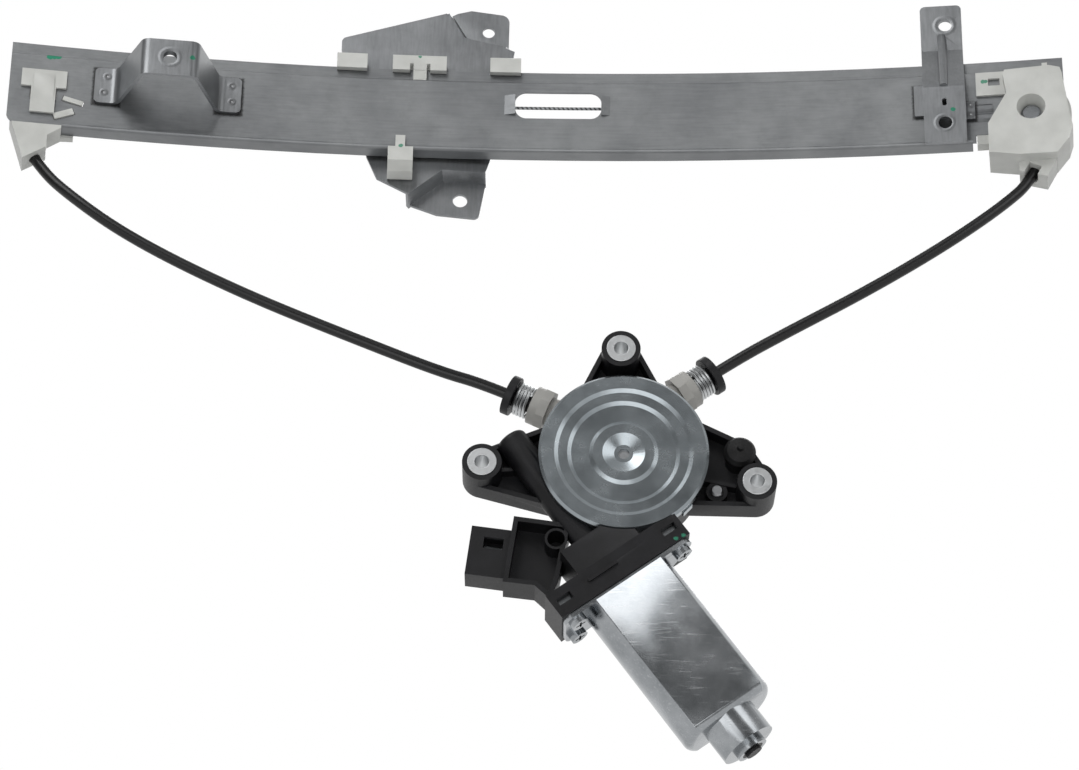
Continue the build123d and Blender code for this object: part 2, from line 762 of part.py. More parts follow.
def lift_cable():
    left = along_rail(tube_along(guide_wire(), wire_radius), guide_arc)
    right = along_rail(tube_along(pulley_wire(), wire_radius), pulley_arc)
    run = left + wire_room(wire_radius, guide_arc, pulley_arc) + right
    pieces = []
    for plane in (left_cable, right_cable):
        pieces.append(plane.location * rod(wire_radius, 0, cap_distance - cap_stem_length + 12))
    return Compound(children=pieces + [run])


def point_on_rail(point, arc):
    return Vertex(*point).rotate(rail_axis, math.degrees(arc / rail_radius)).center()


cap_out = cap_distance + cap_thickness
sheath_in = cap_out - cap_socket
left_exit = point_on_rail(guide_turn_end + guide_out * (guide_mouth - guide_socket), guide_arc)
left_exit_next = point_on_rail(guide_turn_end + guide_out * (guide_mouth + 9), guide_arc)
right_exit = point_on_rail(pulley_turn_end + pulley_out * (pulley_mouth - pulley_socket), pulley_arc)
right_exit_next = point_on_rail(pulley_turn_end + pulley_out * (pulley_mouth + 7), pulley_arc)

left_route = [
    (-226.2, -59.4, 17.0),
    (-203.4, -75.8, 15.6),
    (-173.3, -92.6, 14.2),
    (-134.0, -111.2, 12.6),
    (-90.0, -129.0, 10.8),
    (-47.0, -146.0, 9.2),
]
right_route = [
    (224.3, -54.2, 15.2),
    (205.0, -69.8, 15.9),
    (180.0, -87.2, 15.4),
    (150.0, -106.0, 14.6),
    (121.0, -122.6, 13.8),
]


def sheath(first, second, middle, plane, name):
    last = [plane.from_local_coords((0, 0, d)) for d in (cap_out + 12, sheath_in)]
    points = [Vector(*p) for p in (first, second, *middle, *last)]
    radii = []
    for before, here, after in zip(points, points[1:], points[2:]):
        turn = (here - before).get_angle(after - here)
        run = min((here - before).length, (after - here).length)
        radii.append(0.45 * run / math.tan(math.radians(turn / 2)))
    path = FilletPolyline(*points, radius=radii)
    body = tube_along(path, sheath_radius)
    section = math.pi * sheath_radius ** 2
    print(name, "length", round(path.length, 1), "radii", [round(r) for r in radii])
    print(name, "volume over section times length", round(body.volume / section / path.length, 4))
    return body


def conduit_left():
    return sheath(left_exit, left_exit_next, left_route, left_cable, "conduit_left")


def conduit_right():
    return sheath(right_exit, right_exit_next, right_route, right_cable, "conduit_right")


# Cable tensioners: each sheath ends in a cap that a spring pushes away from the drum

def conduit_cap(plane):
    body = rod(cap_radius, cap_distance, cap_out)
    body += rod(cap_stem_radius, cap_out - cap_stem_length, cap_distance)
    body -= rod(sheath_radius + fixed_fit, sheath_in, cap_out + 1)
    body -= rod(wire_radius + wire_clear, 0, cap_out)
    return plane.location * body


def tension_spring(plane):
    low = tube_end + collar_nut_length + collar_length
    end_gap = 0.1
    height = cap_distance - low - spring_wire - 2 * end_gap
    coil = Helix(pitch=height / spring_turns, height=height, radius=spring_radius)
    wire = Plane(coil @ 0, x_dir=(1, 0, 0), z_dir=coil % 0) * RegularPolygon(spring_wire / 2, 6)
    return plane.location * Pos(0, 0, low + spring_wire / 2 + end_gap) * sweep(wire, coil, is_frenet=True)


def drum_housing():
    body = rod(drum_flange_radius + 1 + drum_housing_wall, drum_housing_low, drum_housing_top)
    body += slab(around(screw_circle, 3, Circle(screw_lug_radius), screw_angle), drum_housing_low,
                 drum_housing_top)
    tubes = []
    bores = []
    for plane in (left_cable, right_cable):
        collar = tube_end + collar_nut_length
        tube = rod(tube_radius, tube_start, tube_end) + rod(collar_radius, collar, collar + collar_length)
        tube += slab(RegularPolygon(collar_nut_radius, 8), tube_end, collar)
        tubes.append(plane.location * tube)
        bores.append(plane.location * rod(tube_bore, tube_start - 8, collar + collar_length + 1))
    body = drum_at * body
    for tube in tubes:
        body += tube
    body -= drum_at * rod(drum_flange_radius + 1, first_groove - 1.9, drum_housing_top + 10)
    for bore in bores:
        body -= bore
    body -= drum_at * rod(spindle_radius + running_fit, 0, first_groove)
    body -= drum_at * slab(screw_holes(), 0, drum_housing_top + 1)
    return body


def screw_holes():
    return around(screw_circle, 3, Circle(screw_radius + fixed_fit), screw_angle)


def drum_screws():
    places = PolarLocations(screw_circle, 3, start_angle=screw_angle)
    shank = rod(screw_radius, drum_housing_low, drum_housing_top + 6)
    head = rod(screw_head_radius - 0.6, drum_housing_low - 2, drum_housing_low)
    return drum_at * Compound(children=[place * (shank + head) for place in places])


# Drum, spindle and gear

def cable_drum():
    last = groove_z(groove_count - 1)
    low = first_groove - 1.3
    high = last + 1.3
    body = rod(drum_wire_radius + 0.3, low, high)
    body += rod(drum_flange_radius, low - 0.2, low - 0.2 + drum_flange_width)
    body += rod(drum_flange_radius, high - drum_flange_width + 0.2, high + 0.2)
    for number in range(groove_count):
        z = groove_z(number)
        cut = outline((drum_wire_radius - wire_radius - 0.3, z - 0.6), (drum_wire_radius + 1, z - 1.1),
                      (drum_wire_radius + 1, z + 1.1), (drum_wire_radius - wire_radius - 0.3, z + 0.6))
        body -= revolve(Plane.XZ * cut, Axis.Z)
    body -= slab(around(12, 6, Circle(3.6)), low + 3, high + 1)
    return drum_at * (body - rod(spindle_radius + fixed_fit, low - 1, high + 1))


def output_spindle():
    body = rod(spindle_radius, drum_housing_low + 0.2, spindle_end)
    return drum_at * body


def spindle_bush():
    return drum_at * ring(spindle_radius + bush_wall, spindle_radius + running_fit, bowl_back, bowl_back + 6)


def half_tooth(above):
    # half of a tooth's thickness at a height above the pitch line
    pitch = 2 * math.pi * wheel_pitch_radius / gear_ratio
    return (pitch - tooth_backlash * 2) / 4 - above * math.tan(math.radians(pressure_angle))


def wheel_outline():
    tip = wheel_pitch_radius + tooth_addendum
    root = wheel_pitch_radius - tooth_dedendum
    mesh_angle = math.radians(motor_angle - 90)
    points = []
    for tooth in range(gear_ratio):
        middle = mesh_angle + 2 * math.pi * tooth / gear_ratio
        for radius, half in ((root, -half_tooth(-tooth_dedendum)), (tip, -half_tooth(tooth_addendum)),
                             (tip, half_tooth(tooth_addendum)), (root, half_tooth(-tooth_dedendum))):
            angle = middle + half / radius
            points.append((radius * math.cos(angle), radius * math.sin(angle)))
    return outline(*points)


def worm_wheel():
    width = wheel_high - wheel_low
    lead = 1 / gear_ratio * wheel_pitch_radius / worm_pitch_radius
    half_twist = math.degrees(width / 2 * lead / wheel_pitch_radius)
    flat = wheel_outline()
    ends = Sketch() + [Pos(0, 0, wheel_low) * Rot(0, 0, -half_twist) * flat,
                       Pos(0, 0, wheel_high) * Rot(0, 0, half_twist) * flat]
    body = loft(ends, ruled=True)
    body -= ring(wheel_pocket_radius, wheel_hub_radius, wheel_low + wheel_pocket_floor, wheel_high + 1)
    body += rod(wheel_hub_radius, bowl_back + 6.4, wheel_low)
    body -= rod(spindle_radius + fixed_fit, 0, wheel_high + 1)
    return drum_at * body


def damper_places():
    return PolarLocations(0, damper_count, start_angle=15)


def damper():
    room = wheel_pocket_radius - 2 * fixed_fit
    hub = wheel_hub_radius + 2 * fixed_fit
    quarter = Pos((room + hub) / 2, 0) * Rectangle(room, 4.4)
    pads = Circle(room) - Circle(hub)
    for place in damper_places():
        pads -= place * quarter
    return drum_at * slab(pads, wheel_low + wheel_pocket_floor, wheel_high)


def drive_plate():
    room = wheel_pocket_radius - 1
    body = rod(room, wheel_high + 0.1, wheel_high + 1.7)
    tab = Pos(17.5, 0) * Rectangle(14, 3.8)
    for place in damper_places():
        body += place * slab(tab, wheel_low + wheel_pocket_floor + 0.6, wheel_high + 1)
    return drum_at * (body - rod(spindle_radius + fixed_fit, 0, bowl_front))


def armature_shaft():
    body = rod(shaft_radius, worm_tube_end + 4.6, can_boss_end - 6)
    root = worm_pitch_radius - tooth_dedendum
    pitch = 2 * math.pi * wheel_pitch_radius / gear_ratio
    body += rod(root, -worm_length / 2 - 2, worm_length / 2 + 2)
    coil = Helix(pitch=pitch, height=worm_length, radius=worm_pitch_radius)
    buried = 0.25
    inner = -tooth_dedendum - buried
    thread = outline((inner, -half_tooth(inner)), (tooth_addendum, -half_tooth(tooth_addendum)),
                     (tooth_addendum, half_tooth(tooth_addendum)), (inner, half_tooth(inner)))
    first = Plane(coil @ 0, x_dir=(1, 0, 0), z_dir=coil % 0)
    turn = sweep(first * thread, coil, is_frenet=True)
    # turned so that a gap between two threads faces the wheel
    lift = -worm_length / 2
    phase = 90 + 360 * lift / pitch
    body += Pos(0, 0, lift) * (Rot(0, 0, phase) * turn)
    return on_shaft * body


def armature_core():
    body = Circle(core_radius)
    slots = around(core_radius, core_teeth, Rectangle(8, 1.8))
    return on_shaft * slab(body - slots - Circle(shaft_radius + fixed_fit), core_start, core_end)


def armature_windings():
    pieces = []
    for low, high in ((core_start - 7, core_start), (core_end, core_end + 7)):
        pieces.append(ring(core_radius - 2, shaft_radius + 1, low, high))
    return on_shaft * Compound(children=pieces)


def commutator():
    drum = Circle(commutator_radius) - Circle(shaft_radius + fixed_fit)
    gaps = around(commutator_radius, core_teeth, Rectangle(2, 0.6))
    return on_shaft * slab(drum - gaps, commutator_start, commutator_end)


def magnets():
    outer = can_radius - can_wall - fixed_fit
    arc = Circle(outer) - Circle(magnet_inner_radius)
    arc &= Rectangle(2 * (can_half_depth - can_wall) - 4, 60)
    return on_shaft * slab(arc, core_start - 4, core_end + 2)


def brush_holder():
    body = rod(can_radius - can_wall - fixed_fit, block_end - 4, block_end - 1)
    body &= slab(Rectangle(2 * (can_half_depth - can_wall), 60), 0, can_end)
    body -= rod(commutator_radius + 0.8, 0, can_end)
    for side in (-1, 1):
        body += Pos(0, side * 13.5, block_end - 1) * Box(7.5, 8, 5, align=upright)
        body -= Pos(0, side * 13.5, block_end - 0.2) * Box(5.2, 12, 3.6, align=upright)
    return on_shaft * body


def brushes():
    start = commutator_radius + 0.2
    pieces = []
    for side in (-1, 1):
        middle = side * (start + 4.5)
        pieces.append(Pos(0, middle, block_end - 0.1) * Box(5, 9, 3.4, align=upright))
    return on_shaft * Compound(children=pieces)


def shaft_bushes():
    ends = [worm_tube_end + 5, 20.0, can_boss_end - 6 - bush_length]
    outers = [worm_tube_bore, worm_tube_bore, shaft_radius + bush_wall]
    pieces = []
    for low, outer in zip(ends, outers):
        pieces.append(ring(outer - fixed_fit, shaft_radius + running_fit, low, low + bush_length))
    return on_shaft * Compound(children=pieces)


def thrust_pad():
    return on_shaft * rod(worm_tube_bore - fixed_fit, worm_tube_end + 2.5, worm_tube_end + 4.5)


# Gear housing: one black moulding with the bowl, the worm tube, three arms and the motor's flange

def arm_shape(*rounds):
    edges = []
    for place, radius in rounds:
        edges += (Pos(*place) * Circle(radius)).edges()
    return make_hull(edges)


def arm_outlines():
    boss = sleeve_boss_radius
    top = arm_shape((top_sleeve, boss), ((-19, 28), 4), ((17, 29), 4))
    left = arm_shape((left_sleeve, boss), ((-29, 14), 5), ((-30, -18), 6))
    right = arm_shape((right_sleeve, boss), (bumper_place, bumper_radius - 1), ((28, 18), 5), ((28, -16), 6))
    return top, left, right


def block_section():
    return Rectangle(2 * block_half_depth, 2 * block_half_width)


def gear_housing():
    body = rod(bowl_radius, bowl_back, bowl_front)
    for arm in arm_outlines():
        body += slab(arm, arm_plate_back, arm_plate_front)
    for arm in arm_outlines():
        pocket = offset(arm, amount=-arm_rim)
        body -= slab(pocket, arm_plate_back + arm_floor, arm_plate_front + 1)
    for place in (top_sleeve, left_sleeve, right_sleeve):
        body += Pos(*place) * rod(sleeve_boss_radius, arm_plate_back, sleeve_boss_front)
        reach = math.hypot(*place)
        root = bowl_radius - 2
        rib = Pos((reach + root) / 2, 0) * Rectangle(reach - root, arm_rib)
        turned = Rot(0, 0, math.degrees(math.atan2(place[1], place[0]))) * rib
        body += slab(turned, arm_plate_back + arm_floor - 1, arm_rib_front)
    body += Pos(*bumper_place) * rod(bumper_radius - 1, arm_plate_back, arm_plate_front)
    body += Pos(*pin_place) * rod(pin_radius + 2, arm_plate_back, arm_plate_front - 3)
    body += rod(bowl_radius, bowl_back, bowl_front)
    body = drum_at * body
    tube = rod(worm_tube_radius, worm_tube_end, block_start + 1)
    tube = fillet(tube.faces().sort_by(Axis.Z)[0].edges(), worm_tube_rounding)
    neck = slab(Rectangle(neck_depth, neck_width), neck_start, block_start)
    along, beside, length = block_ridge
    ridge = Pos(block_half_depth, beside, along) * Box(2 * block_ridge_height, length, 1.4)
    body += on_shaft * (tube + neck + slab(block_section(), block_start, block_end) + ridge)
    cavity = rod(bowl_inner_radius, bowl_back + bowl_floor, bowl_front + 1)
    body -= drum_at * cavity
    body -= drum_at * ring(cover_radius + seat, bowl_radius, cover_face - cover_lip - seat, bowl_front)
    body -= drum_at * rod(cover_radius + seat, bowl_front, cover_face + 10)
    body += drum_at * ring(spindle_radius + bush_wall + 2, 1, bowl_back, bowl_back + 6)
    body -= drum_at * rod(spindle_radius + bush_wall + fixed_fit, 0, bowl_front)
    body -= drum_at * slab(screw_holes(), 0, drum_housing_top + 6)
    bore = rod(worm_tube_bore, worm_tube_end + 2.4, block_end + 1)
    brush_room = rod(can_radius - can_wall, commutator_start - 4, block_end + 1)
    brush_room &= slab(Rectangle(2 * (can_half_depth - can_wall), 60), 0, can_end)
    body -= on_shaft * (bore + brush_room)
    for depth, side in screw_places():
        body -= on_shaft * (Pos(depth, side) * rod(screw_radius + fixed_fit, block_start, block_end + 1))
        room = Box(20, 7.4, 3.4, align=(Align.MIN, Align.CENTER, Align.CENTER))
        body -= on_shaft * (Pos(depth - 3.7, side, block_start + 6) * room)
    for place in (top_sleeve, left_sleeve, right_sleeve):
        body -= drum_at * (Pos(*place) * rod(sleeve_radius + fixed_fit, 0, sleeve_boss_front + 1))
    body -= drum_at * (Pos(*pin_place) * rod(pin_radius + fixed_fit, arm_plate_back + 2, arm_plate_front))
    body -= drum_at * (Pos(*bumper_place) * rod(2.5 + fixed_fit, arm_plate_back + 2, arm_plate_front + 1))
    return body


def screw_places():
    return [(screw_depth, screw_spread), (-screw_depth, screw_spread), (screw_depth, -screw_spread)]


def gear_cover():
    rim = cover_radius
    high = cover_face + cover_rise
    low = cover_face - cover_dish_depth
    bottom = cover_face - cover_dimple_depth
    half = cover_slope / 2
    skirt = [(rim, cover_face - cover_lip), (rim, high - cover_edge)]
    steps = [
        (rim - cover_edge, high), (rim - cover_ring_width, high),
        (rim - cover_ring_width - cover_slope, cover_face),
        (cover_dish_radius + half, cover_face), (cover_dish_radius - half, low),
        (cover_boss_radius + half, low),
        (cover_boss_radius - half, cover_face), (cover_dimple_radius, cover_face),
        (cover_dimple_radius - cover_dimple_slope, bottom), (cover_hole_radius, bottom),
    ]
    under = [(r, z - cover_sheet) for r, z in reversed(steps)]
    inside = [(rim - cover_sheet, high - cover_edge), (rim - cover_sheet, cover_face - cover_lip)]
    body = revolve(Plane.XZ * outline(*skirt, *steps, *under, *inside), Axis.Z)
    tab = Box(1, 6, 4, align=(Align.MIN, Align.CENTER, Align.MAX))
    body += Rot(0, 0, -42) * (Pos(rim - cover_sheet / 2, 0, cover_face - cover_lip + cover_sheet) * tab)
    return drum_at * body


def mounting_sleeves():
    tube = ring(sleeve_radius, sleeve_bore, sleeve_back, sleeve_front)
    return drum_at * Compound(children=[Pos(*p) * tube for p in (top_sleeve, left_sleeve, right_sleeve)])


def rubber_bumper():
    front = arm_plate_front
    section = outline((0, front - 8), (2.5, front - 8), (2.5, front), (bumper_radius, front + 0.05),
                      (bumper_radius, front + 2.5), (bumper_radius - 1.4, front + 4.6),
                      (bumper_radius - 4, front + 6),
                      (1.6, front + 6.6), (1.2, front + 8.6), (0, front + 9))
    return drum_at * (Pos(*bumper_place) * revolve(Plane.XZ * section, Axis.Z))


def locating_pin():
    body = rod(pin_radius, arm_plate_back + 2.1, arm_plate_front - 1)
    body = chamfer(body.faces().sort_by(Axis.Z)[-1].edges(), 0.7)
    return drum_at * (Pos(*pin_place) * body)


# Motor can and its fittings

def can_section(radius, half_depth):
    return Circle(radius) & Rectangle(2 * half_depth, 3 * radius)


def motor_can():
    body = slab(can_section(can_radius, can_half_depth), can_start, can_end)
    rear = body.faces().sort_by(lambda f: f.center().Z)[-1]
    body = fillet(rear.edges(), 3.5)
    body += rod(can_boss_radius, can_end - 1, can_boss_end)
    body += rod(can_boss_radius - 5.5, can_boss_end - 1, can_boss_end + 3)
    ears = []
    for depth, side in screw_places():
        ears.append((Pos(depth, side) * Circle(ear_radius)).edges())
    middle = list(can_section(can_radius, can_half_depth).edges())
    flange = make_hull([edge for ear in ears for edge in ear] + middle)
    flange &= Rectangle(2 * can_half_depth - 1, 100)
    body += slab(flange, can_start - ear_sheet + 0.8, can_start + 0.8)
    inner = slab(can_section(can_radius - can_wall, can_half_depth - can_wall), 0, can_end - can_wall)
    body -= inner
    body -= rod(shaft_radius + bush_wall, can_end - 5, can_boss_end + 4)
    for depth, side in screw_places():
        body -= Pos(depth, side) * rod(screw_radius + fixed_fit, can_start - 5, can_start + 5)
    return on_shaft * body


def can_end_cap():
    body = rod(shaft_radius + bush_wall - fixed_fit, can_boss_end - 4, can_boss_end + 3)
    body += rod(shaft_radius + bush_wall - 1.5, can_boss_end + 3, can_boss_end + 4.5)
    return on_shaft * body


def motor_screws():
    pieces = []
    for depth, side in screw_places():
        low = can_start + 0.8
        body = rod(screw_radius, block_start + 3, low) + rod(screw_head_radius, low, low + screw_head_height)
        body -= Pos(0, 0, low + 1.2) * Box(screw_head_radius * 1.2, 1.1, 4, align=upright)
        body -= Pos(0, 0, low + 1.2) * Box(1.1, screw_head_radius * 1.2, 4, align=upright)
        pieces.append(Pos(depth, side) * body)
    return on_shaft * Compound(children=pieces)


def captive_nuts():
    pieces = []
    for depth, side in screw_places():
        nut = Box(6.8, 6.8, 3) - rod(screw_radius + fixed_fit, -3, 3)
        pieces.append(Pos(depth, side, block_start + 6) * nut)
    return on_shaft * Compound(children=pieces)


# Connector moulding beside the motor's flange

def connector_housing():
    tray = outline((-49.8, -29.6), (-54.4, -61.9), (-40, -63.5), (-33, -70), (-29.5, -62), (-27, -48),
                   (-24, -33))
    body = slab(tray, 19.5, 38)
    body -= slab(offset(tray, amount=-2.2), 27, 39)
    body += Pos(-30.5, -40.5) * rod(5.2, 20, 38)
    body -= Pos(-30.5, -40.5) * rod(4, 24, 39)
    socket = Pos(-51.5, -47.5) * (Rot(0, 0, -7) * Box(19, 24, 15, align=(Align.MAX, Align.CENTER, Align.MIN)))
    inside = Pos(-53.5, -47.5) * (Rot(0, 0, -7) * Box(30, 20, 11, align=(Align.MAX, Align.CENTER, Align.MIN)))
    window = Pos(-59, -42) * (Rot(0, 0, -7) * Box(9, 5.5, 8))
    body += Pos(0, 0, 20) * socket
    body -= Pos(0, 0, 22) * inside
    body -= Pos(0, 0, 35) * window
    body = drum_at * body
    body -= on_shaft * rod(worm_tube_radius + seat, worm_tube_end, block_start)
    body -= on_shaft * slab(Rectangle(2 * block_half_depth + 2 * seat, 2 * block_half_width + 2 * seat),
                            block_start - seat, block_end + seat)
    neck = Rectangle(neck_depth + 2 * seat, neck_width + 2 * seat)
    body -= on_shaft * slab(neck, neck_start - seat, block_start)
    for blade in blades(fixed_fit):
        body -= drum_at * blade
    return body - drum_at * rod(bowl_radius + seat, 0, bowl_front)


def blades(extra=0.0):
    # the two contact blades, or the slots that they are pressed through
    pieces = []
    for side in (-1, 1):
        blade = Box(blade_length + extra, blade_width + 2 * extra, blade_sheet + 2 * extra,
                    align=(Align.MAX, Align.CENTER, Align.CENTER))
        turned = Rot(0, 0, plug_angle) * (Pos(extra / 2, side * blade_spread) * blade)
        pieces.append(Pos(*plug_place) * turned)
    return pieces


def terminals():
    return drum_at * Compound(children=blades())


# The bolt hole of the bracket over the rail's left end is the part's zero point

zero_point = point_on_rail(Vector(0, hat_y, hat_height), hat_arc)
panel_view = Plane((-zero_point.X, zero_point.Z, -zero_point.Y), x_dir=(1, 0, 0), z_dir=(0, -1, 0)).location


def save(shape, name):
    export_step(panel_view * shape, "parts/" + name + ".step")


pieces = {
    "rail": rail,
    "hat_bracket": hat_bracket,
    "arm_bracket": arm_bracket,
    "lower_cable_guide": lower_cable_guide,
    "pulley_housing": pulley_housing,
    "pulley_axle": pulley_axle,
    "pulley": pulley,
    "carrier_plate": carrier_plate,
    "slider_top_left": lambda: top_slider(left_slider),
    "slider_top_middle": lambda: top_slider(middle_slider, middle_tongue),
    "slider_top_right": lambda: top_slider(right_slider),
    "slider_bottom": bottom_slider,
    "cable_clip": cable_clip,
    "cable_nipples": cable_nipples,
    "lift_cable": lift_cable,
    "conduit_left": conduit_left,
    "conduit_right": conduit_right,
    "conduit_cap_left": lambda: conduit_cap(left_cable),
    "conduit_cap_right": lambda: conduit_cap(right_cable),
    "tension_spring_left": lambda: tension_spring(left_cable),
    "tension_spring_right": lambda: tension_spring(right_cable),
    "drum_housing": drum_housing,
    "drum_screws": drum_screws,
    "cable_drum": cable_drum,
    "output_spindle": output_spindle,
    "spindle_bush": spindle_bush,
    "worm_wheel": worm_wheel,
    "damper": damper,
    "drive_plate": drive_plate,
    "armature_shaft": armature_shaft,
    "armature_core": armature_core,
    "armature_windings": armature_windings,
    "commutator": commutator,
    "magnets": magnets,
    "brush_holder": brush_holder,
    "brushes": brushes,
    "shaft_bushes": shaft_bushes,
    "thrust_pad": thrust_pad,
    "gear_housing": gear_housing,
    "gear_cover": gear_cover,
    "mounting_sleeves": mounting_sleeves,
    "rubber_bumper": rubber_bumper,
    "locating_pin": locating_pin,
    "motor_can": motor_can,
    "can_end_cap": can_end_cap,
    "motor_screws": motor_screws,
    "captive_nuts": captive_nuts,
    "connector_housing": connector_housing,
    "terminals": terminals,
}

for name, make in pieces.items():
    save(make(), name)
print("zero point at", zero_point)
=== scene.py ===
import bpy
import bmesh
import json
import math
from mathutils import Matrix, Vector


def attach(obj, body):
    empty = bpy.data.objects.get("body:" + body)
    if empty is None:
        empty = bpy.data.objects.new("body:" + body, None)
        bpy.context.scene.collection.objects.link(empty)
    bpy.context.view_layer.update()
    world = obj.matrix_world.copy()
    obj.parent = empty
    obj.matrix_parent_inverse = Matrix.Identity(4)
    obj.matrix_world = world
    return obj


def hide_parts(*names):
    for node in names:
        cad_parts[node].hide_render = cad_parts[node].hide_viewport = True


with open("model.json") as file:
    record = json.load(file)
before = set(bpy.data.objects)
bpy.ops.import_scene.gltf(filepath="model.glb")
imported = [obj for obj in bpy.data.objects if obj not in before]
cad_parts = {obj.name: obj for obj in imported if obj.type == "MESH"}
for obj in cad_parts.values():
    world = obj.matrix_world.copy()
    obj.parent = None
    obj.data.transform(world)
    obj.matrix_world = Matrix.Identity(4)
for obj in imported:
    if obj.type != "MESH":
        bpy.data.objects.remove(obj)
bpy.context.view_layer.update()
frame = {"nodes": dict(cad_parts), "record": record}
body = {node: name for name, nodes in frame["record"]["behaviour"]["bodies"].items() for node in nodes}

railZero = Vector((180.931, 45.208, 4.0))   # bolt hole in the hat bracket, from the rail's middle
railRadius = 1500.0


def at(x, y, z):
    # millimetres along the rail, up and towards the door panel, as metres in the frame
    return Vector((x + railZero.x, railZero.y - z, y - railZero.z)) / 1000


def onRail(arc, y, z):
    turn = arc / railRadius
    reach = railRadius - z
    return at(reach * math.sin(turn), y, railRadius - reach * math.cos(turn))


# Camera

photo = {"aim": (0, -147.7, 0), "distance": 1.62, "below": 25.7, "roll": 0.8, "lens": 113.4, "sensor": 36}


def placeCamera():
    lens = bpy.data.cameras.new("camera")
    lens.lens = photo["lens"]
    lens.sensor_width = photo["sensor"]
    camera = bpy.data.objects.new("camera", lens)
    bpy.context.scene.collection.objects.link(camera)
    below = math.radians(photo["below"])
    back = Vector((0, -math.cos(below), -math.sin(below)))
    camera.matrix_world = (
        Matrix.Translation(at(*photo["aim"]) + back * photo["distance"])
        @ back.to_track_quat("Z", "Y").to_matrix().to_4x4()
        @ Matrix.Rotation(math.radians(photo["roll"]), 4, "Z")
    )
    bpy.context.scene.camera = camera


placeCamera()


# Sheathed cables

sheathDiameter = 5.5
cables = {
    "leftCable": {"node": "conduit_left", "length": 0.289, "route": [
        (-252.6, -28.5, 15.2), (-243.4, -42.8, 13.8), (-226.2, -59.4, 17.0), (-203.4, -75.8, 15.6),
        (-173.3, -92.6, 14.2), (-134.0, -111.2, 12.6), (-90.0, -129.0, 10.8), (-47.0, -146.0, 9.2),
        (-25.9, -151.6, 8.0), (-2.2, -162.3, 8.0),
    ]},
    "rightCable": {"node": "conduit_right", "length": 0.218, "route": [
        (244.7, -26.7, 14.0), (237.3, -40.8, 12.8), (224.3, -54.2, 15.2), (205.0, -69.8, 15.9),
        (180.0, -87.2, 15.4), (150.0, -106.0, 14.6), (121.0, -122.6, 13.8), (92.3, -139.7, 13.0),
        (71.3, -154.9, 13.0),
    ]},
}


def layCable(name, cable):
    curve = bpy.data.curves.new(name, "CURVE")
    curve.dimensions = "3D"
    curve.bevel_depth = 1   # the sheath's radius sits on the points, so that the curve's box fits the tube
    curve.bevel_resolution = 6
    curve.use_fill_caps = True
    curve.resolution_u = 16
    spline = curve.splines.new("NURBS")
    spline.points.add(len(cable["route"]) - 1)
    for point, place in zip(spline.points, cable["route"]):
        point.co = (*at(*place), 1)
        point.radius = sheathDiameter / 2000
    spline.order_u = 3
    spline.use_endpoint_u = True
    piece = bpy.data.objects.new(name, curve)
    bpy.context.scene.collection.objects.link(piece)
    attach(piece, "frame")
    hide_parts(cable["node"])
    return piece


cablePieces = [layCable(name, cable) for name, cable in cables.items()]
print("camera and cables placed")


# Finishes

def linear(text):
    # sRGB hex to linear colour
    values = [int(text[i:i + 2], 16) / 255 for i in (0, 2, 4)]
    return tuple(v / 12.92 if v <= 0.04045 else ((v + 0.055) / 1.055) ** 2.4 for v in values) + (1.0,)


def addNode(tree, kind, sockets=None, stops=None, output=0, **settings):
    node = tree.nodes.new(kind)
    for key, value in settings.items():
        setattr(node, key, value)
    for key, value in (sockets or {}).items():
        if isinstance(value, bpy.types.NodeSocket):
            tree.links.new(value, node.inputs[key])
        else:
            node.inputs[key].default_value = value
    if stops:
        elements = node.color_ramp.elements
        while len(elements) < len(stops):
            elements.new(0.5)
        for element, (position, colour) in zip(elements, stops):
            element.position = position
            element.color = linear(colour)
    return node.outputs[output] if node.outputs else node


def startMaterial(name, **sockets):
    material = bpy.data.materials.new(name)
    material.use_nodes = True
    tree = material.node_tree
    tree.nodes.clear()
    surface = addNode(tree, "ShaderNodeBsdfPrincipled", sockets)
    addNode(tree, "ShaderNodeOutputMaterial", {"Surface": surface})
    place = addNode(tree, "ShaderNodeTexCoord", output="Object")
    return material, tree, surface.node, place


def perMillimetre(size):
    # texture scale for a grain of that many millimetres, on coordinates in metres
    return 1000 / size


def facingViewer(tree):
    # 1 on faces that look towards the viewer's side, so a mark stays on one face of the sheet
    normal = addNode(tree, "ShaderNodeTexCoord", output="Normal")
    depth = addNode(tree, "ShaderNodeSeparateXYZ", {"Vector": normal}, output="Y")
    return addNode(tree, "ShaderNodeMapRange", {"Value": depth, "From Min": -0.4, "From Max": -0.1,
                                                "To Min": 1.0, "To Max": 0.0})


def nearPlaces(tree, place, centres, ragged=0.0):
    # distance to the nearest centre in metres, with depth counted a fifth
    # ragged is how far the edge wanders, in millimetres
    flat = (1.0, 0.2, 1.0)
    level = addNode(tree, "ShaderNodeVectorMath", {0: place, 1: flat}, operation="MULTIPLY")
    nearest = None
    for centre in centres:
        away = addNode(tree, "ShaderNodeVectorMath", {0: level, 1: centre * Vector(flat)},
                       operation="DISTANCE", output="Value")
        if nearest:
            away = addNode(tree, "ShaderNodeMath", {0: away, 1: nearest}, operation="MINIMUM")
        nearest = away
    if ragged:
        wander = addNode(tree, "ShaderNodeTexNoise", {
            "Vector": place, "Scale": perMillimetre(1.6), "Detail": 3.0})
        nearest = addNode(tree, "ShaderNodeMath", {0: wander, 1: ragged / 1000, 2: nearest},
                          operation="MULTIPLY_ADD")
    return nearest


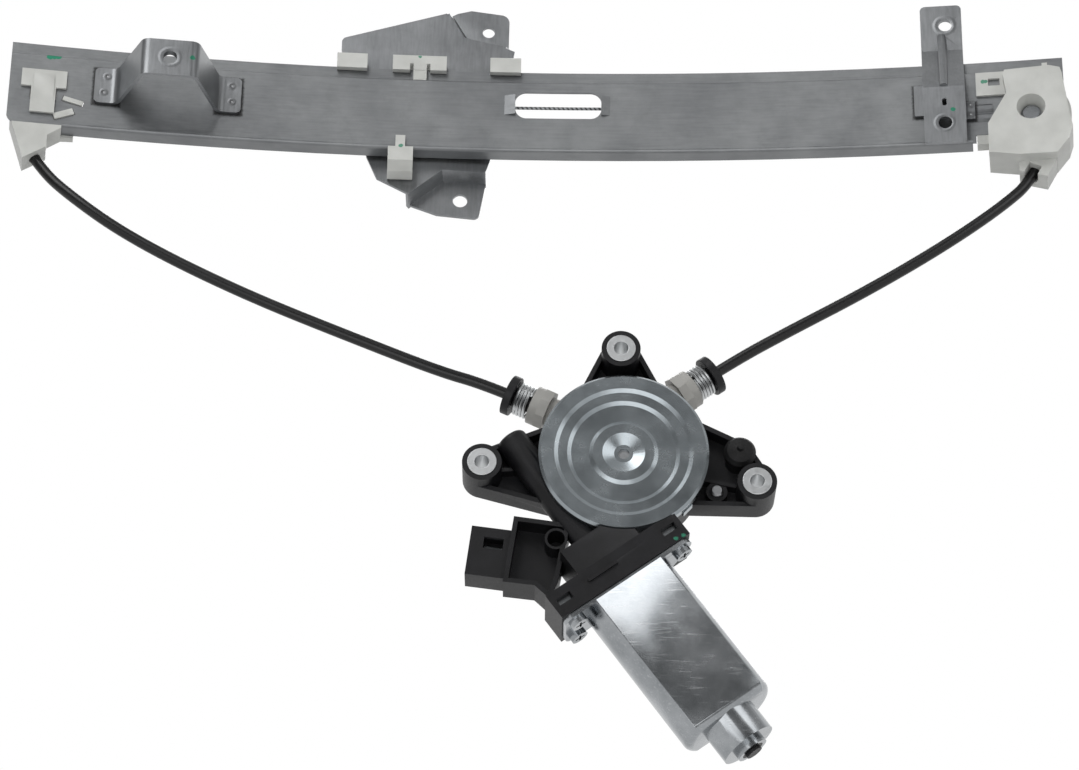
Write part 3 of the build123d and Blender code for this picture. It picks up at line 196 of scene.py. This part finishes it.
def withMarks(tree, shader, place, colour, marks):
    # each mark is a patch of another colour, such as a dab of paint or a scorch, round its places
    front = facingViewer(tree)
    for mark in marks:
        reach = nearPlaces(tree, place, mark["places"], mark["ragged"])
        patch = addNode(tree, "ShaderNodeMapRange", {
            "Value": reach, "From Min": mark["radius"] / 1000,
            "From Max": (mark["radius"] + mark["fade"]) / 1000,
            "To Min": mark["strength"], "To Max": 0.0})
        patch = addNode(tree, "ShaderNodeMath", {0: patch, 1: front}, operation="MULTIPLY")
        colour = addNode(tree, "ShaderNodeMix", {"Factor": patch, "A": colour, "B": linear(mark["colour"])},
                         data_type="RGBA", output="Result")
    tree.links.new(colour, shader.inputs["Base Color"])


scorch = {"grain": 1.1, "wander": 1.4, "full": 1.1, "gone": 2.1, "strength": 0.8}   # millimetres, and a share


def scorchedFeet(tree, place, feet):
    # dark burnt line that spot welding leaves round the edge of a bracket's foot
    split = addNode(tree, "ShaderNodeSeparateXYZ", {"Vector": place}).node
    wander = addNode(tree, "ShaderNodeTexNoise", {
        "Vector": place, "Scale": perMillimetre(scorch["grain"]), "Detail": 4.0})
    total = None
    for centre, halfWidth, halfHeight in feet:
        sides = []
        for axis, half in (("X", halfWidth), ("Z", halfHeight)):
            offset = addNode(tree, "ShaderNodeMath", {0: split.outputs[axis], 1: centre["XYZ".index(axis)]},
                             operation="SUBTRACT")
            offset = addNode(tree, "ShaderNodeMath", {0: offset}, operation="ABSOLUTE")
            sides.append(addNode(tree, "ShaderNodeMath", {0: offset, 1: half / 1000}, operation="SUBTRACT"))
        edge = addNode(tree, "ShaderNodeMath", {0: sides[0], 1: sides[1]}, operation="MAXIMUM")
        edge = addNode(tree, "ShaderNodeMath", {0: wander, 1: scorch["wander"] / 1000, 2: edge},
                       operation="MULTIPLY_ADD")
        burn = addNode(tree, "ShaderNodeMapRange", {
            "Value": edge, "From Min": scorch["full"] / 1000, "From Max": scorch["gone"] / 1000,
            "To Min": scorch["strength"], "To Max": 0.0})
        total = burn if total is None else addNode(tree, "ShaderNodeMath", {0: total, 1: burn},
                                                   operation="MAXIMUM")
    return total


def pressedRims(tree, place, rims, height):
    # raised rim round a punched hole, or a round dimple, added to the height that the bump reads
    for rim in rims:
        reach = nearPlaces(tree, place, [rim["place"]])
        reach = addNode(tree, "ShaderNodeMath", {0: reach, 1: rim["radius"] / 1000}, operation="SUBTRACT")
        reach = addNode(tree, "ShaderNodeMath", {0: reach}, operation="ABSOLUTE")
        crest = addNode(tree, "ShaderNodeMapRange", {
            "Value": reach, "From Min": 0.0, "From Max": rim["width"] / 1000,
            "To Min": rim["rise"], "To Max": 0.0}, interpolation_type="SMOOTHSTEP")
        height = addNode(tree, "ShaderNodeMath", {0: height, 1: crest}, operation="ADD")
    return height


paintGreen = "2f8467"
bracketWelds = [
    onRail(-215.6, 9.1, 1.8), onRail(-216.9, 0.1, 1.8), onRail(-154.4, 9.1, 1.8), onRail(-154.0, 0.1, 1.8),
]
armWelds = [onRail(210.6, 0.4, 1.8), onRail(210.6, -5.0, 1.8)]
weldRim = {"radius": 1.3, "width": 1.1, "rise": 4.0}
dab = {"fade": 0.3, "ragged": 0.9, "strength": 0.9, "colour": paintGreen}

sheetSteel = {
    # electro-galvanised steel sheet: cloudy mid grey with faint rolling lines
    # a foot is the middle, half width and half height of a bracket's foot that is welded there
    "galvanisedRail": {
        "dark": "727476", "light": "8a8c8d", "rough": (0.36, 0.5), "rolling": (0.05, 1.0, 1.0), "rims": [],
        "feet": [(onRail(-215.6, 4.0, 0), 6.2, 9.9), (onRail(-155.6, 4.0, 0), 6.2, 9.9),
                 (onRail(185.6, 4.0, 0), 2.4, 8.7), (onRail(210.6, -2.7, 0), 2.4, 5.0)],
        "marks": [{**dab, "radius": 2.0, "strength": 0.95, "places": [
            onRail(-244.3, 18.6, 0), onRail(-242.2, 18.9, 0), onRail(-240.4, 19.1, 0)]}],
    },
    "galvanisedBracket": {
        "dark": "77797b", "light": "909294", "rough": (0.30, 0.42), "rolling": (1.0, 1.0, 0.12), "feet": [],
        "rims": [{**weldRim, "place": place} for place in bracketWelds + armWelds] + [
            {"place": onRail(200.0, 52.0, -5.0), "radius": 4.6, "width": 1.6, "rise": 6.0},
            {"place": onRail(199.6, 44.3, -5.0), "radius": 0.0, "width": 2.0, "rise": 7.0},
            {"place": onRail(198.0, -12.4, 10.0), "radius": 4.3, "width": 1.3, "rise": 5.0},
            {"place": at(-180.93, 4.0, 45.2), "radius": 4.6, "width": 1.5, "rise": 5.0},
        ],
        "marks": [
            {"places": bracketWelds + armWelds, "radius": 0.3, "fade": 2.6, "ragged": 1.0, "strength": 0.75,
             "colour": "2b2a29"},
            {"places": bracketWelds + armWelds, "radius": 0.1, "fade": 0.6, "ragged": 0.2, "strength": 0.9,
             "colour": "c9cbcc"},
            {**dab, "places": [onRail(-174.6, 4.6, 34.0), onRail(202.3, -5.2, 10.0)], "radius": 1.5,
             "ragged": 0.8},
        ],
    },
}


def galvanisedSheet(name, look):
    material, tree, shader, place = startMaterial(name, Metallic=0.9)
    cloud = addNode(tree, "ShaderNodeTexNoise", {
        "Vector": place, "Scale": perMillimetre(34), "Detail": 5.0, "Roughness": 0.6})
    along = addNode(tree, "ShaderNodeMapping", {"Vector": place, "Scale": look["rolling"]})
    lines = addNode(tree, "ShaderNodeTexNoise", {
        "Vector": along, "Scale": perMillimetre(1.1), "Detail": 4.0, "Roughness": 0.55})
    both = addNode(tree, "ShaderNodeMath", {0: lines, 1: 0.45, 2: cloud}, operation="MULTIPLY_ADD")
    colour = addNode(tree, "ShaderNodeValToRGB", {"Fac": both},
                     stops=[(0.5, look["dark"]), (0.92, look["light"])])
    handled = addNode(tree, "ShaderNodeTexNoise", {
        "Vector": place, "Scale": perMillimetre(16), "Detail": 9.0, "Roughness": 0.72})
    grime = addNode(tree, "ShaderNodeMapRange", {
        "Value": handled, "From Min": 0.54, "From Max": 0.72, "To Min": 0.0, "To Max": 0.2})
    colour = addNode(tree, "ShaderNodeMix", {"Factor": grime, "A": colour, "B": linear("56585a")},
                     data_type="RGBA", output="Result")
    if look["feet"]:
        burn = scorchedFeet(tree, place, look["feet"])
        burn = addNode(tree, "ShaderNodeMath", {0: burn, 1: facingViewer(tree)}, operation="MULTIPLY")
        colour = addNode(tree, "ShaderNodeMix", {"Factor": burn, "A": colour, "B": linear("2a2928")},
                         data_type="RGBA", output="Result")
    withMarks(tree, shader, place, colour, look["marks"])
    low, high = look["rough"]
    sheen = addNode(tree, "ShaderNodeMapRange", {
        "Value": lines, "From Min": 0.3, "From Max": 0.7, "To Min": low, "To Max": high})
    tree.links.new(sheen, shader.inputs["Roughness"])
    height = pressedRims(tree, place, look["rims"], lines)
    bump = addNode(tree, "ShaderNodeBump", {"Height": height, "Strength": 0.25, "Distance": 0.00008})
    tree.links.new(bump, shader.inputs["Normal"])
    return material


platedSteel = {
    # bright zinc plate on drawn steel: near mirror, with haze, handling scuffs and a fine drawn grain
    "brightZincCan": {"dark": "868a8d", "light": "a9acaf", "rough": (0.16, 0.26), "scuffs": 0.3},
    "brightZincCover": {"dark": "8b9296", "light": "a6adb1", "rough": (0.2, 0.3), "scuffs": 0.04},
}
scuffTurns = (0.35, -0.6, 1.3)   # the ways that the scuffs run, in radians


def platedFinish(name, look):
    material, tree, shader, place = startMaterial(name, Metallic=1.0)
    haze = addNode(tree, "ShaderNodeTexNoise", {
        "Vector": place, "Scale": perMillimetre(22), "Detail": 6.0, "Roughness": 0.6})
    colour = addNode(tree, "ShaderNodeValToRGB", {"Fac": haze},
                     stops=[(0.32, look["dark"]), (0.68, look["light"])])
    scuffs = None
    for turn in scuffTurns:
        swung = addNode(tree, "ShaderNodeMapping", {
            "Vector": place, "Rotation": (0.0, turn, 0.0), "Scale": (0.09, 1.0, 1.0)})
        streak = addNode(tree, "ShaderNodeTexNoise", {
            "Vector": swung, "Scale": perMillimetre(1.3), "Detail": 2.0})
        streak = addNode(tree, "ShaderNodeMapRange", {
            "Value": streak, "From Min": 0.64, "From Max": 0.72, "To Min": 0.0, "To Max": look["scuffs"]})
        scuffs = streak if scuffs is None else addNode(tree, "ShaderNodeMath", {0: scuffs, 1: streak},
                                                       operation="MAXIMUM")
    colour = addNode(tree, "ShaderNodeMix", {"Factor": scuffs, "A": colour, "B": linear("c4c6c8")},
                     data_type="RGBA", output="Result")
    tree.links.new(colour, shader.inputs["Base Color"])
    low, high = look["rough"]
    sheen = addNode(tree, "ShaderNodeMapRange", {
        "Value": haze, "From Min": 0.3, "From Max": 0.7, "To Min": low, "To Max": high})
    sheen = addNode(tree, "ShaderNodeMath", {0: scuffs, 1: 0.2, 2: sheen}, operation="MULTIPLY_ADD")
    tree.links.new(sheen, shader.inputs["Roughness"])
    grain = addNode(tree, "ShaderNodeTexNoise", {"Vector": place, "Scale": perMillimetre(0.6), "Detail": 2.0})
    bump = addNode(tree, "ShaderNodeBump", {"Height": grain, "Strength": 0.1, "Distance": 0.00003})
    tree.links.new(bump, shader.inputs["Normal"])
    return material


plainMoulding = {"soft": 0.0, "shine": 0.4, "marks": []}

mouldedLooks = {
    # injection-moulded plastic: even colour, faint flow pattern, spark-eroded grain
    "naturalNylon": {
        "dark": "bfc0bc", "light": "cbccc8", "rough": 0.42, "grain": 0.7, "bump": 0.1, "soft": 0.15,
        "shine": 0.4, "marks": [
            {**dab, "places": [onRail(217.4, 13.3, 3.0), onRail(218.8, 13.2, 3.0), at(-62.0, 33.7, 2.5),
                               onRail(-70.0, -20.0, 2.0)], "radius": 1.4},
            {"places": [onRail(-239.0, 12.0, 5.0)], "radius": 0.8, "fade": 2.6, "ragged": 1.2,
             "strength": 0.6, "colour": "b5a568"},
        ],
    },
    "greyAcetal": {**plainMoulding, "dark": "a09f9b", "light": "adaca8", "rough": 0.45, "grain": 0.6,
                   "bump": 0.12},
    "blackNylon": {
        "dark": "0e0e10", "light": "17171a", "rough": 0.46, "grain": 0.5, "bump": 0.3, "soft": 0.0,
        "shine": 0.3, "marks": [
            {**dab, "places": [at(62.5, -247.0, 44.0), at(66.0, -245.4, 44.0)], "radius": 1.7, "fade": 0.4,
             "ragged": 1.2, "strength": 0.8},
        ],
    },
    # extruded sheath, moulded rubber, and the pressed magnet, brush and brush card
    "blackSheath": {**plainMoulding, "dark": "0a0a0b", "light": "121213", "rough": 0.32, "grain": 1.1,
                    "bump": 0.15},
    "blackRubber": {**plainMoulding, "dark": "0d0d0e", "light": "151516", "rough": 0.62, "grain": 0.6,
                    "bump": 0.3, "shine": 0.3},
    "ferrite": {**plainMoulding, "dark": "1f2022", "light": "2a2b2d", "rough": 0.6, "grain": 0.5,
                "bump": 0.3},
    "pressedCarbon": {**plainMoulding, "dark": "19191a", "light": "232324", "rough": 0.7, "grain": 0.4,
                      "bump": 0.3},
    "brownLaminate": {**plainMoulding, "dark": "5a3518", "light": "6c4423", "rough": 0.5, "grain": 0.5,
                      "bump": 0.2},
}


def mouldedFinish(name, look):
    material, tree, shader, place = startMaterial(name, **{
        "Subsurface Weight": look["soft"], "Subsurface Radius": (0.002, 0.002, 0.002),
        "Specular IOR Level": look["shine"]})
    flow = addNode(tree, "ShaderNodeTexNoise", {"Vector": place, "Scale": perMillimetre(12), "Detail": 4.0})
    fine = addNode(tree, "ShaderNodeTexNoise", {
        "Vector": place, "Scale": perMillimetre(look["grain"]), "Detail": 2.0})
    colour = addNode(tree, "ShaderNodeValToRGB", {"Fac": flow},
                     stops=[(0.35, look["dark"]), (0.65, look["light"])])
    withMarks(tree, shader, place, colour, look["marks"])
    sheen = addNode(tree, "ShaderNodeMapRange", {
        "Value": fine, "From Min": 0.3, "From Max": 0.7,
        "To Min": look["rough"] * 0.85, "To Max": look["rough"] * 1.15})
    tree.links.new(sheen, shader.inputs["Roughness"])
    bump = addNode(tree, "ShaderNodeBump", {"Height": fine, "Strength": look["bump"], "Distance": 0.00006})
    tree.links.new(bump, shader.inputs["Normal"])
    return material


turnedLooks = {
    # turned, drawn or sintered metal: close rings or fine drawn lines left by the tool
    "zincSleeve": {"colour": "c6c8c9", "rough": (0.34, 0.44), "pitch": 2.0},
    "turnedSteel": {"colour": "a4a6a8", "rough": (0.3, 0.4), "pitch": 1.2},
    "springSteel": {"colour": "c4c6c7", "rough": (0.3, 0.36), "pitch": 4.0},
    "sinteredBronze": {"colour": "b48a5a", "rough": (0.4, 0.55), "pitch": 0.5},
    "enamelledCopper": {"colour": "b06a3c", "rough": (0.3, 0.45), "pitch": 0.5},
    "coreLaminations": {"colour": "6c6f73", "rough": (0.45, 0.6), "pitch": 0.5},
}


def turnedFinish(name, look):
    material, tree, shader, place = startMaterial(name, **{
        "Metallic": 1.0, "Base Color": linear(look["colour"])})
    across = addNode(tree, "ShaderNodeMapping", {"Vector": place, "Scale": (1.0, 0.2, 1.0)})
    rings = addNode(tree, "ShaderNodeTexNoise", {
        "Vector": across, "Scale": perMillimetre(look["pitch"]), "Detail": 1.0})
    low, high = look["rough"]
    sheen = addNode(tree, "ShaderNodeMapRange", {
        "Value": rings, "From Min": 0.3, "From Max": 0.7, "To Min": low, "To Max": high})
    tree.links.new(sheen, shader.inputs["Roughness"])
    bump = addNode(tree, "ShaderNodeBump", {"Height": rings, "Strength": 0.12, "Distance": 0.00003})
    tree.links.new(bump, shader.inputs["Normal"])
    return material


def wireRope(name):
    # stranded steel wire: dull grey, its slanting strands drawn coarser than the real 0.3 mm to show, with
    # painted shade darkening the grooves between them
    material, tree, shader, place = startMaterial(name, Metallic=0.9, Roughness=0.4)
    slanted = addNode(tree, "ShaderNodeMapping", {"Vector": place, "Rotation": (0.0, math.radians(40), 0.0)})
    strandsAndGrooveShade = addNode(tree, "ShaderNodeTexWave", {
        "Vector": slanted, "Scale": perMillimetre(5.5), "Distortion": 0.0}, output="Fac")
    # painted shade: the base colour darkens in the grooves of the rope's lay
    colour = addNode(tree, "ShaderNodeValToRGB", {"Fac": strandsAndGrooveShade}, stops=[(0.1, "3c3d3e"), (0.6, "9a9c9e")])
    tree.links.new(colour, shader.inputs["Base Color"])
    bump = addNode(tree, "ShaderNodeBump", {"Height": strandsAndGrooveShade, "Strength": 0.5, "Distance": 0.0001})
    tree.links.new(bump, shader.inputs["Normal"])
    return material


finishes = {"wireRope": wireRope("wireRope")}
for looks, make in ((sheetSteel, galvanisedSheet), (platedSteel, platedFinish),
                    (mouldedLooks, mouldedFinish), (turnedLooks, turnedFinish)):
    for name, look in looks.items():
        finishes[name] = make(name, look)

slotFinish = {
    "zinc_steel": "galvanisedRail", "bright_zinc_steel": "brightZincCan", "natural_nylon": "naturalNylon",
    "black_nylon": "blackNylon", "grey_acetal": "greyAcetal", "black_sheath": "blackSheath",
    "spring_steel": "springSteel", "turned_steel": "turnedSteel", "wire_rope": "wireRope",
    "sintered_bronze": "sinteredBronze", "copper": "enamelledCopper", "laminated_steel": "coreLaminations",
    "ferrite": "ferrite", "carbon": "pressedCarbon", "black_rubber": "blackRubber",
    "brown_laminate": "brownLaminate",
}
nodeFinish = {
    "hat_bracket": "galvanisedBracket", "arm_bracket": "galvanisedBracket",
    "carrier_plate": "galvanisedBracket",
    "gear_cover": "brightZincCover", "mounting_sleeves": "zincSleeve",
}
nodeSlot = {part["node"]: part["material_slot"] for part in frame["record"]["subparts"]}


def finishOf(node):
    return finishes[nodeFinish.get(node, slotFinish[nodeSlot[node]])]


for node, piece in frame["nodes"].items():
    piece.data.materials.clear()
    piece.data.materials.append(finishOf(node))
for piece in cablePieces:
    piece.data.materials.append(finishes["blackSheath"])
print("finishes ready")


# Softened edges on the pressed and moulded pieces

edgeRules = {"joined": 0.002, "flat": 0.8, "sharp": 32, "segments": 2}   # millimetres and degrees
rolledEdges = {"motor_can": {"width": 1.8, "longerThan": 40, "segments": 5}}   # the drawn can's long corners


def softenEdges(node, width):
    sharp = math.radians(edgeRules["sharp"])
    mesh = bmesh.new()
    mesh.from_mesh(frame["nodes"][node].data)
    bmesh.ops.remove_doubles(mesh, verts=mesh.verts, dist=edgeRules["joined"] / 1000)
    bmesh.ops.dissolve_limit(mesh, angle_limit=math.radians(edgeRules["flat"]), verts=mesh.verts,
                             edges=mesh.edges)
    if node in rolledEdges:
        rolled = rolledEdges[node]
        corners = [
            edge for edge in mesh.edges
            if edge.calc_length() > rolled["longerThan"] / 1000 and edge.calc_face_angle(0) > sharp
        ]
        bmesh.ops.bevel(mesh, geom=corners, offset=rolled["width"] / 1000, segments=rolled["segments"],
                        profile=0.5, affect="EDGES", material=-1, clamp_overlap=True)
    data = bpy.data.meshes.new(node + "_soft")
    mesh.to_mesh(data)
    mesh.free()
    data.polygons.foreach_set("use_smooth", [True] * len(data.polygons))
    data.set_sharp_from_angle(angle=sharp)
    data.materials.append(finishOf(node))
    piece = bpy.data.objects.new(node + "_soft", data)
    bpy.context.scene.collection.objects.link(piece)
    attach(piece, body[node])
    bevel = piece.modifiers.new("edges", "BEVEL")
    bevel.width = width / 1000
    bevel.segments = edgeRules["segments"]
    bevel.limit_method = "ANGLE"
    bevel.angle_limit = sharp
    bevel.harden_normals = True
    bevel.use_clamp_overlap = True
    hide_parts(node)


edgeWidths = {
    "hat_bracket": 0.3, "arm_bracket": 0.3, "carrier_plate": 0.25,
    "pulley_housing": 0.5, "lower_cable_guide": 0.4, "slider_top_left": 0.4, "slider_top_middle": 0.4,
    "slider_top_right": 0.4, "slider_bottom": 0.4, "cable_clip": 0.4,
    "gear_housing": 0.5, "drum_housing": 0.4, "connector_housing": 0.5, "conduit_cap_left": 0.4,
    "conduit_cap_right": 0.4, "mounting_sleeves": 0.35, "motor_can": 0.5,
}
for node, width in edgeWidths.items():
    softenEdges(node, width)
print("edges softened")


# Stage

stageSizes = {"floorHeight": -1.05, "floorMiddle": 0.18, "floorReach": 6.0, "whiteShare": 0.6}


def mirroredRays(tree):
    # the light path, and 1 on the rays that metal or a clear piece sends on
    rays = addNode(tree, "ShaderNodeLightPath").node
    mirrored = addNode(tree, "ShaderNodeMath", {0: rays.outputs["Is Glossy Ray"],
                                                1: rays.outputs["Is Transmission Ray"]}, operation="MAXIMUM")
    return rays, mirrored


def layFloor():
    mesh = bmesh.new()
    bmesh.ops.create_grid(mesh, x_segments=1, y_segments=1, size=stageSizes["floorReach"])
    bmesh.ops.translate(mesh, verts=mesh.verts, vec=(stageSizes["floorMiddle"], 0, stageSizes["floorHeight"]))
    data = bpy.data.meshes.new("floor")
    mesh.to_mesh(data)
    mesh.free()
    floor = bpy.data.objects.new("floor", data)
    bpy.context.scene.collection.objects.link(floor)
    # matt studio paper, plain white where metal mirrors it and mostly white to the camera
    material, tree, shader, place = startMaterial("palePaper", Roughness=0.9)
    fibres = addNode(tree, "ShaderNodeTexNoise", {
        "Vector": place, "Scale": perMillimetre(2.5), "Detail": 3.0})
    tone = addNode(tree, "ShaderNodeValToRGB", {"Fac": fibres}, stops=[(0.3, "e2e2e2"), (0.7, "e8e8e8")])
    tree.links.new(tone, shader.inputs["Base Color"])
    rays, mirrored = mirroredRays(tree)
    direct = addNode(tree, "ShaderNodeMath", {0: rays.outputs["Is Camera Ray"], 1: stageSizes["whiteShare"]},
                     operation="MULTIPLY")
    share = addNode(tree, "ShaderNodeMath", {0: mirrored, 1: direct}, operation="MAXIMUM")
    white = addNode(tree, "ShaderNodeEmission", {"Color": linear("f4f4f4"), "Strength": 1.0})
    seen = addNode(tree, "ShaderNodeMixShader", {0: share, 1: shader.outputs["BSDF"], 2: white})
    output = next(node for node in tree.nodes if node.type == "OUTPUT_MATERIAL")
    tree.links.new(seen, output.inputs["Surface"])
    floor.data.materials.append(material)


def lightWorld():
    # grey room that lights the object
    # the white paper behind it shows to the camera and in what it mirrors
    world = bpy.data.worlds.new("studio")
    world.use_nodes = True
    bpy.context.scene.world = world
    tree = world.node_tree
    tree.nodes.clear()
    split = addNode(tree, "ShaderNodeSeparateXYZ", {"Vector": addNode(tree, "ShaderNodeTexCoord")}).node
    height = addNode(tree, "ShaderNodeMapRange", {
        "Value": split.outputs["Z"], "From Min": -1.0, "From Max": 1.0, "To Min": 0.0, "To Max": 1.0})
    sky = addNode(tree, "ShaderNodeValToRGB", {"Fac": height}, stops=[
        (0.0, "b4b4b4"), (0.42, "a0a0a0"), (0.68, "8c8c8c"), (0.86, "cccccc"), (1.0, "ececec")])
    room = addNode(tree, "ShaderNodeBackground", {"Color": sky, "Strength": 0.8})
    paper = addNode(tree, "ShaderNodeBackground", {"Color": linear("ffffff"), "Strength": 1.0})
    rays, mirrored = mirroredRays(tree)
    behind = addNode(tree, "ShaderNodeMapRange", {
        "Value": split.outputs["Y"], "From Min": 0.0, "From Max": 0.3, "To Min": 0.0, "To Max": 1.0})
    mirrored = addNode(tree, "ShaderNodeMath", {0: mirrored, 1: behind}, operation="MULTIPLY")
    seen = addNode(tree, "ShaderNodeMath", {0: mirrored, 1: rays.outputs["Is Camera Ray"]},
                   operation="MAXIMUM")
    mixed = addNode(tree, "ShaderNodeMixShader", {0: seen, 1: room, 2: paper})
    addNode(tree, "ShaderNodeOutputWorld", {"Surface": mixed})


lamps = {
    "keyLamp": {"place": (-0.5, -1.2, 1.0), "size": 1.1, "power": 12},
    "fillLamp": {"place": (1.2, -1.1, 0.3), "size": 0.9, "power": 5},
    "lowLamp": {"place": (0.0, -1.3, -0.8), "size": 1.2, "power": 6},
    "backLamp": {"place": (0.2, 1.3, 0.9), "size": 1.0, "power": 9},
}


def hangLamps():
    target = at(0, -100, 10)
    for name, lamp in lamps.items():
        light = bpy.data.lights.new(name, "AREA")
        light.shape = "SQUARE"
        light.size = lamp["size"]
        light.energy = lamp["power"]
        shade = bpy.data.objects.new(name, light)
        bpy.context.scene.collection.objects.link(shade)
        place = Vector(lamp["place"])
        turn = (place - target).to_track_quat("Z", "Y").to_matrix().to_4x4()
        shade.matrix_world = Matrix.Translation(place) @ turn


layFloor()
lightWorld()
hangLamps()
bpy.context.scene.view_settings.view_transform = "Standard"
print("stage ready")
